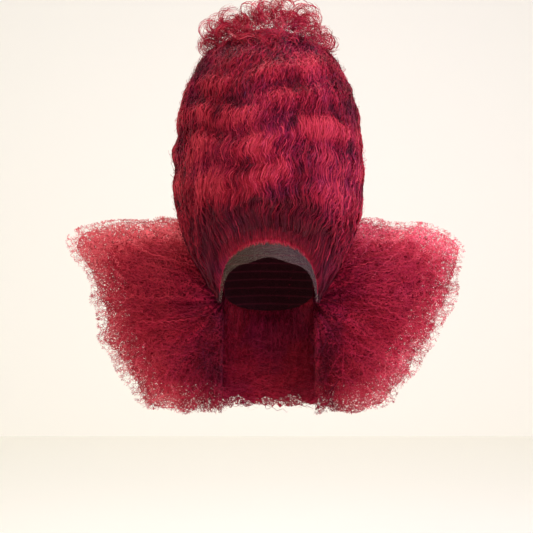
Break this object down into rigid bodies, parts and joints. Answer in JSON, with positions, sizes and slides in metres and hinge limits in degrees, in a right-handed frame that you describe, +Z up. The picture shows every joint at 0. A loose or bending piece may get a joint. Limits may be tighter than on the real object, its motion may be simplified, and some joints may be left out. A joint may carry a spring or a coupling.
{
  "type": "beehive wig",
  "caption": "Lace-front wig: a tall waved beehive swept up from the hairline, a tuft of curls on top and two broad wings of frizzed hair behind the head.",
  "frame": {"origin": "inside of the cap at the crown, where the top of a head holds the wig", "axes": "+Z up, +Y from the face opening to the back of the head, +X to the right of someone who looks at the face opening"},
  "size_m": [0.5745, 0.2738, 0.5906],
  "materials": {
    "net": "matt stretch net",
    "lace": "sheer fine net",
    "crimped_hair": "crimped, soft sheen",
    "curled_hair": "loose curls, soft sheen",
    "frizzed_hair": "teased, matt"
  },
  "bodies": {
    "root": {"wig_cap": "net", "lace_front": "lace", "beehive": "crimped_hair", "top_curls": "curled_hair", "left_wing": "frizzed_hair", "right_wing": "frizzed_hair", "nape_frizz": "frizzed_hair"}
  },
  "joints": []
}
